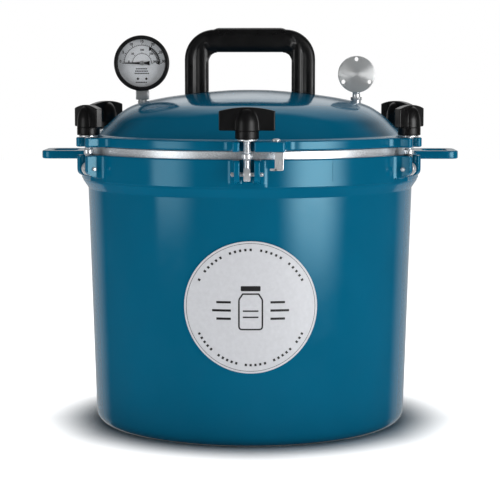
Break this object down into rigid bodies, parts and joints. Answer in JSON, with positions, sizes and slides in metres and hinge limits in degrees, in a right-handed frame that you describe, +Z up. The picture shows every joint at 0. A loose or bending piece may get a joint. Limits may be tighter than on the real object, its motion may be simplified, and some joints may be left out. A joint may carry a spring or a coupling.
{
  "type": "pressure canner",
  "caption": "Round cast pot with a domed lid held by swing-away wing-knob clamps, with a carrying handle, dial gauge, weight regulator and side handles.",
  "frame": {"origin": "on the floor, on the pot's axis", "axes": "+Z up along the pot axis; +X to the right, through the side handles, with the gauge at -X; the front, with its badge, is -Y"},
  "size_m": [0.4294, 0.3896, 0.408],
  "materials": {
    "teal_enamel": "gloss",
    "badge_print": "satin",
    "black_phenolic": "semi-gloss",
    "zinc_steel": "bright",
    "spun_steel": "spun",
    "brass": "satin",
    "bare_aluminium": "mill",
    "gauge_black": "gloss",
    "gauge_glass": "clear",
    "gauge_face": "matte",
    "rubber": "matte"
  },
  "bodies": {
    "pot_body": {"pot": "teal_enamel", "badge": "badge_print", "hinge_pin_1": "zinc_steel", "hinge_pin_2": "zinc_steel", "hinge_pin_3": "zinc_steel", "hinge_pin_4": "zinc_steel", "hinge_pin_5": "zinc_steel", "hinge_pin_6": "zinc_steel"},
    "lower_rack_body": {"lower_rack": "bare_aluminium"},
    "upper_rack_body": {"upper_rack": "bare_aluminium"},
    "lid_body": {"lid": "teal_enamel", "top_handle": "black_phenolic", "handle_screw_left": "zinc_steel", "handle_screw_right": "zinc_steel", "gauge_stem": "zinc_steel", "gauge_case": "gauge_black", "gauge_bezel": "gauge_black", "gauge_lens": "gauge_glass", "gauge_dial": "gauge_face", "gauge_movement": "brass", "bourdon_tube": "brass", "vent_pipe": "zinc_steel", "stop_bracket": "zinc_steel", "stop_screw": "zinc_steel"},
    "pointer_body": {"gauge_pointer": "gauge_black"},
    "sector_body": {"gauge_sector": "brass"},
    "weight_body": {"regulator_weight": "spun_steel"},
    "plug_body": {"pressure_plug": "rubber"},
    "bolt_1_body": {"clamp_bolt_1": "zinc_steel"},
    "washer_1_body": {"clamp_washer_1": "zinc_steel"},
    "knob_1_body": {"wing_knob_1": "black_phenolic", "knob_insert_1": "brass"},
    "bolt_2_body": {"clamp_bolt_2": "zinc_steel"},
    "washer_2_body": {"clamp_washer_2": "zinc_steel"},
    "knob_2_body": {"wing_knob_2": "black_phenolic", "knob_insert_2": "brass"},
    "bolt_3_body": {"clamp_bolt_3": "zinc_steel"},
    "washer_3_body": {"clamp_washer_3": "zinc_steel"},
    "knob_3_body": {"wing_knob_3": "black_phenolic", "knob_insert_3": "brass"},
    "bolt_4_body": {"clamp_bolt_4": "zinc_steel"},
    "washer_4_body": {"clamp_washer_4": "zinc_steel"},
    "knob_4_body": {"wing_knob_4": "black_phenolic", "knob_insert_4": "brass"},
    "bolt_5_body": {"clamp_bolt_5": "zinc_steel"},
    "washer_5_body": {"clamp_washer_5": "zinc_steel"},
    "knob_5_body": {"wing_knob_5": "black_phenolic", "knob_insert_5": "brass"},
    "bolt_6_body": {"clamp_bolt_6": "zinc_steel"},
    "washer_6_body": {"clamp_washer_6": "zinc_steel"},
    "knob_6_body": {"wing_knob_6": "black_phenolic", "knob_insert_6": "brass"}
  },
  "joints": [
    {"name": "lid_lift", "type": "slide", "parent": "pot_body", "child": "lid_body", "axis": [0, 0, 1], "range_m": [0, 0.09]},
    {"name": "lower_rack_lift", "type": "slide", "parent": "pot_body", "child": "lower_rack_body", "axis": [0, 0, 1], "range_m": [0, 0.1]},
    {"name": "upper_rack_lift", "type": "slide", "parent": "lower_rack_body", "child": "upper_rack_body", "axis": [0, 0, 1], "range_m": [0, 0.12]},
    {"name": "pointer_turn", "type": "hinge", "parent": "lid_body", "child": "pointer_body", "pos_m": [-0.112, -0.006, 0.3717], "axis": [0, 1, 0], "range_deg": [0, 180]},
    {"name": "sector_turn", "type": "hinge", "parent": "lid_body", "child": "sector_body", "pos_m": [-0.112, -0.0007, 0.3588], "axis": [0, 1, 0], "range_deg": [-30, 0]},
    {"name": "regulator_lift", "type": "slide", "parent": "lid_body", "child": "weight_body", "axis": [0, 0, 1], "range_m": [0, 0.03]},
    {"name": "plug_pop", "type": "slide", "parent": "lid_body", "child": "plug_body", "axis": [0, 0, 1], "range_m": [0, 0.015]},
    {"name": "clamp_1_swing", "type": "hinge", "parent": "pot_body", "child": "bolt_1_body", "pos_m": [0, -0.1835, 0.2675], "axis": [-1, 0, 0], "range_deg": [-165, 0]},
    {"name": "knob_1_rise", "type": "slide", "parent": "bolt_1_body", "child": "washer_1_body", "axis": [0, 0, 1], "range_m": [0, 0.09]},
    {"name": "knob_1_turn", "type": "hinge", "parent": "washer_1_body", "child": "knob_1_body", "pos_m": [0, -0.1835, 0.305], "axis": [0, 0, 1], "continuous": true},
    {"name": "clamp_2_swing", "type": "hinge", "parent": "pot_body", "child": "bolt_2_body", "pos_m": [0.15892, -0.09175, 0.2675], "axis": [-0.5, -0.866, 0], "range_deg": [-165, 0]},
    {"name": "knob_2_rise", "type": "slide", "parent": "bolt_2_body", "child": "washer_2_body", "axis": [0, 0, 1], "range_m": [0, 0.09]},
    {"name": "knob_2_turn", "type": "hinge", "parent": "washer_2_body", "child": "knob_2_body", "pos_m": [0.15892, -0.09175, 0.305], "axis": [0, 0, 1], "continuous": true},
    {"name": "clamp_3_swing", "type": "hinge", "parent": "pot_body", "child": "bolt_3_body", "pos_m": [0.15892, 0.09175, 0.2675], "axis": [0.5, -0.866, 0], "range_deg": [-165, 0]},
    {"name": "knob_3_rise", "type": "slide", "parent": "bolt_3_body", "child": "washer_3_body", "axis": [0, 0, 1], "range_m": [0, 0.09]},
    {"name": "knob_3_turn", "type": "hinge", "parent": "washer_3_body", "child": "knob_3_body", "pos_m": [0.15892, 0.09175, 0.305], "axis": [0, 0, 1], "continuous": true},
    {"name": "clamp_4_swing", "type": "hinge", "parent": "pot_body", "child": "bolt_4_body", "pos_m": [0, 0.1835, 0.2675], "axis": [1, 0, 0], "range_deg": [-165, 0]},
    {"name": "knob_4_rise", "type": "slide", "parent": "bolt_4_body", "child": "washer_4_body", "axis": [0, 0, 1], "range_m": [0, 0.09]},
    {"name": "knob_4_turn", "type": "hinge", "parent": "washer_4_body", "child": "knob_4_body", "pos_m": [0, 0.1835, 0.305], "axis": [0, 0, 1], "continuous": true},
    {"name": "clamp_5_swing", "type": "hinge", "parent": "pot_body", "child": "bolt_5_body", "pos_m": [-0.15892, 0.09175, 0.2675], "axis": [0.5, 0.866, 0], "range_deg": [-165, 0]},
    {"name": "knob_5_rise", "type": "slide", "parent": "bolt_5_body", "child": "washer_5_body", "axis": [0, 0, 1], "range_m": [0, 0.09]},
    {"name": "knob_5_turn", "type": "hinge", "parent": "washer_5_body", "child": "knob_5_body", "pos_m": [-0.15892, 0.09175, 0.305], "axis": [0, 0, 1], "continuous": true},
    {"name": "clamp_6_swing", "type": "hinge", "parent": "pot_body", "child": "bolt_6_body", "pos_m": [-0.15892, -0.09175, 0.2675], "axis": [-0.5, 0.866, 0], "range_deg": [-165, 0]},
    {"name": "knob_6_rise", "type": "slide", "parent": "bolt_6_body", "child": "washer_6_body", "axis": [0, 0, 1], "range_m": [0, 0.09]},
    {"name": "knob_6_turn", "type": "hinge", "parent": "washer_6_body", "child": "knob_6_body", "pos_m": [-0.15892, -0.09175, 0.305], "axis": [0, 0, 1], "continuous": true}
  ],
  "couplings": [
    {"joint": "sector_turn", "follows": "pointer_turn", "ratio": -0.16667},
    {"joint": "knob_1_rise", "follows": "lid_lift", "ratio": 1},
    {"joint": "knob_2_rise", "follows": "lid_lift", "ratio": 1},
    {"joint": "knob_3_rise", "follows": "lid_lift", "ratio": 1},
    {"joint": "knob_4_rise", "follows": "lid_lift", "ratio": 1},
    {"joint": "knob_5_rise", "follows": "lid_lift", "ratio": 1},
    {"joint": "knob_6_rise", "follows": "lid_lift", "ratio": 1}
  ]
}
